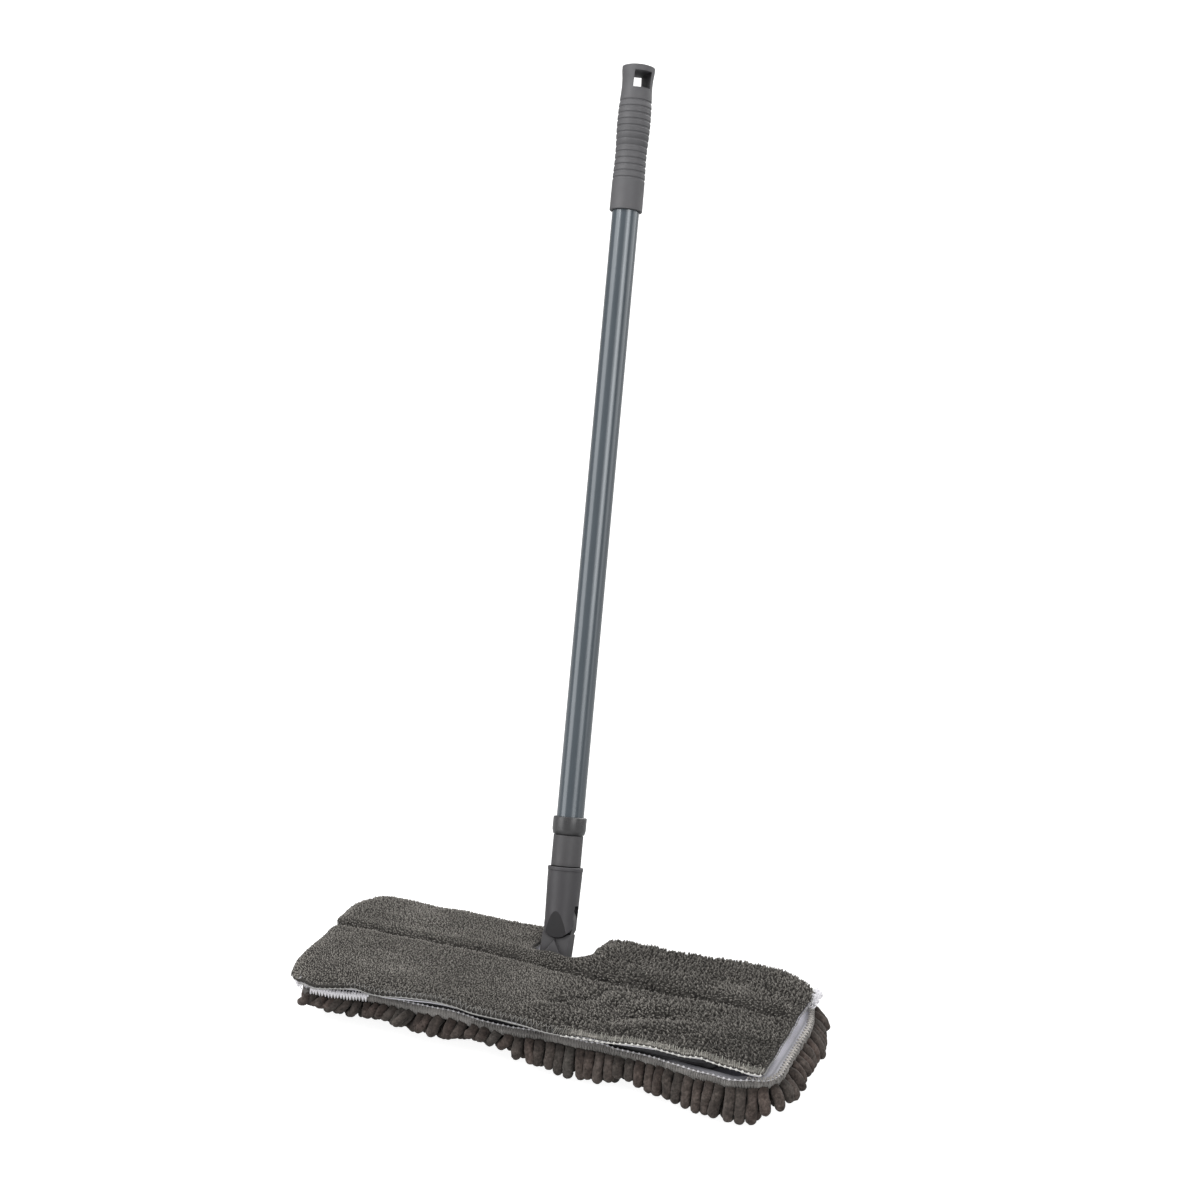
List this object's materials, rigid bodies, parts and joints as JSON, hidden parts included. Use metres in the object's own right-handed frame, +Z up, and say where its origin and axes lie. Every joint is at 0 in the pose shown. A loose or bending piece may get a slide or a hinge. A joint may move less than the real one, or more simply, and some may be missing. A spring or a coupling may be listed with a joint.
{
  "type": "flat mop",
  "caption": "Flip-head flat mop: telescopic twist-lock pole, two-axis neck and a slim rectangular head in a plush and chenille cover.",
  "frame": {"origin": "on the floor, under the middle of the head plate's length", "axes": "+Z up from the floor; X along the head; +Y towards the head's hinge side, the way the pole leans at rest"},
  "size_m": [0.416, 0.4307, 0.7107],
  "materials": {
    "grip_plastic": "matte grey moulded",
    "pole_paint": "satin blue-grey paint",
    "inner_steel": "plain drawn tube",
    "dark_plastic": "dark, slightly glossy",
    "neck_plastic": "dark grey, satin",
    "plate_plastic": "grey, moulded",
    "pin_steel": "plain",
    "hook_tape": "woven hook strip",
    "plush": "short warm-grey pile",
    "lining": "white loop fabric",
    "chenille": "brown-grey fuzzy"
  },
  "bodies": {
    "head": {"plate_lower_shell": "plate_plastic", "plate_upper_shell": "plate_plastic", "plate_screw_1": "pin_steel", "plate_screw_2": "pin_steel", "plate_screw_3": "pin_steel", "plate_screw_4": "pin_steel", "plate_screw_5": "pin_steel", "plate_screw_6": "pin_steel", "hinge_pin": "pin_steel", "hook_tape_upper_left": "hook_tape", "hook_tape_upper_right": "hook_tape", "hook_tape_lower_left": "hook_tape", "hook_tape_lower_right": "hook_tape", "plush_sheet": "plush", "upper_lining": "lining", "lower_lining": "lining", "lower_sheet": "chenille", "chenille_pile": "chenille"},
    "neck_knuckle": {"knuckle": "neck_plastic"},
    "lower_pole": {"neck_socket": "neck_plastic", "fork_pin": "pin_steel", "thread_adapter": "neck_plastic", "inner_tube": "inner_steel", "lock_spindle": "dark_plastic"},
    "lock": {"lock_sleeve": "grip_plastic"},
    "upper_pole": {"outer_tube": "pole_paint", "lock_collar": "dark_plastic", "grip": "grip_plastic"}
  },
  "joints": [
    {"name": "head_flip", "type": "hinge", "parent": "head", "child": "neck_knuckle", "pos_m": [0, 0.038, 0.0352], "axis": [-1, 0, 0], "range_deg": [-29, 161]},
    {"name": "pole_roll", "type": "hinge", "parent": "neck_knuckle", "child": "lower_pole", "pos_m": [0, 0.05339, 0.0706], "axis": [0, 0.9171, -0.3987], "range_deg": [-56, 63]},
    {"name": "lock_twist", "type": "hinge", "parent": "lower_pole", "child": "lock", "pos_m": [-0.03705, 0.28819, 0.6106], "axis": [-0.0628, 0.398, 0.9153], "range_deg": [0, 180]},
    {"name": "telescope", "type": "slide", "parent": "lock", "child": "upper_pole", "axis": [-0.0628, 0.398, 0.9153], "range_m": [0, 0.43]}
  ]
}
